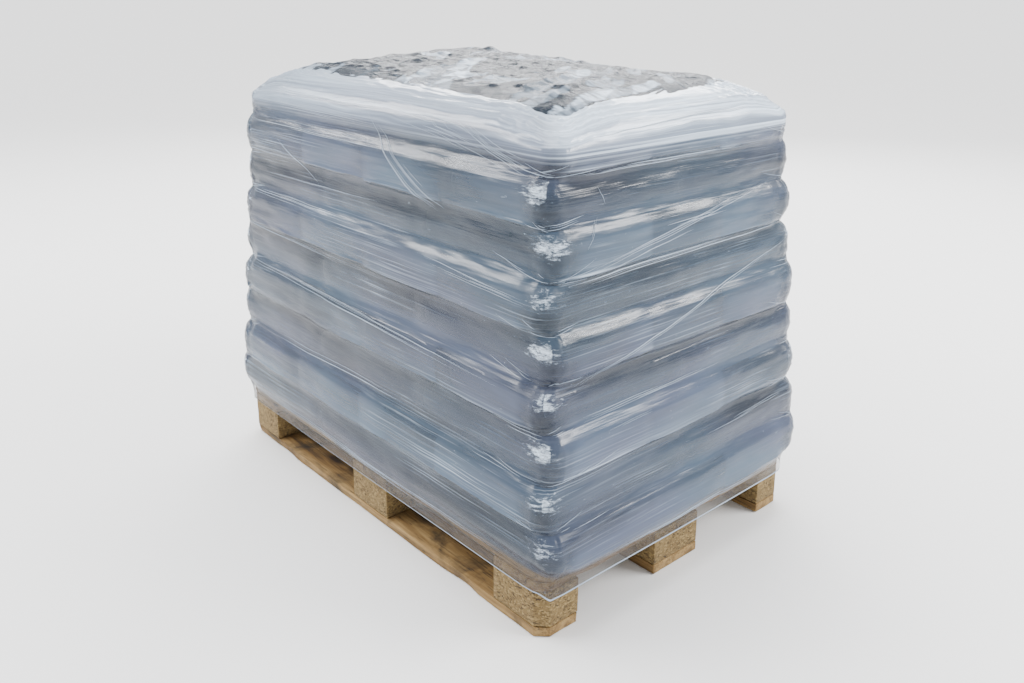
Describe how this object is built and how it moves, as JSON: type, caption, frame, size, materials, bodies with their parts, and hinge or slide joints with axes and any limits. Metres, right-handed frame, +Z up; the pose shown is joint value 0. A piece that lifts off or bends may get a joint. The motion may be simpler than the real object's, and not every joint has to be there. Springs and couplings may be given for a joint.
{
  "type": "pallet of sacks",
  "caption": "Wooden four-way flat pallet loaded with interlocked layers of filled plastic sacks, with a loose cover sheet on top and clear stretch wrap round load and deck.",
  "frame": {"origin": "On the floor, under the centre of the pallet.", "axes": "+X along the pallet's 1200 mm length, +Y along its 800 mm width, +Z up. The bottom boards run along X."},
  "size_m": [1.2882, 0.855, 1.0246],
  "materials": {
    "board_wood": "rough sawn softwood, slightly weathered",
    "block_wood": "pressed wood chips",
    "sack_film": "satin blue-grey plastic film",
    "clear_film": "clear glossy stretch film"
  },
  "bodies": {
    "root": {"bottom_board_front": "board_wood", "bottom_board_middle": "board_wood", "bottom_board_back": "board_wood", "block_front_left": "block_wood", "block_front_centre": "block_wood", "block_front_right": "block_wood", "block_middle_left": "block_wood", "block_middle_centre": "block_wood", "block_middle_right": "block_wood", "block_back_left": "block_wood", "block_back_centre": "block_wood", "block_back_right": "block_wood", "stringer_board_left": "board_wood", "stringer_board_centre": "board_wood", "stringer_board_right": "board_wood", "deck_board_1": "board_wood", "deck_board_2": "board_wood", "deck_board_3": "board_wood", "deck_board_4": "board_wood", "deck_board_5": "board_wood", "sack_layer_1": "sack_film", "sack_layer_2": "sack_film", "sack_layer_3": "sack_film", "sack_layer_4": "sack_film", "sack_layer_5": "sack_film", "sack_layer_6": "sack_film", "sack_layer_7": "sack_film", "sack_layer_8": "sack_film", "sack_layer_9": "sack_film", "top_sheet": "clear_film", "stretch_wrap": "clear_film"}
  },
  "joints": []
}
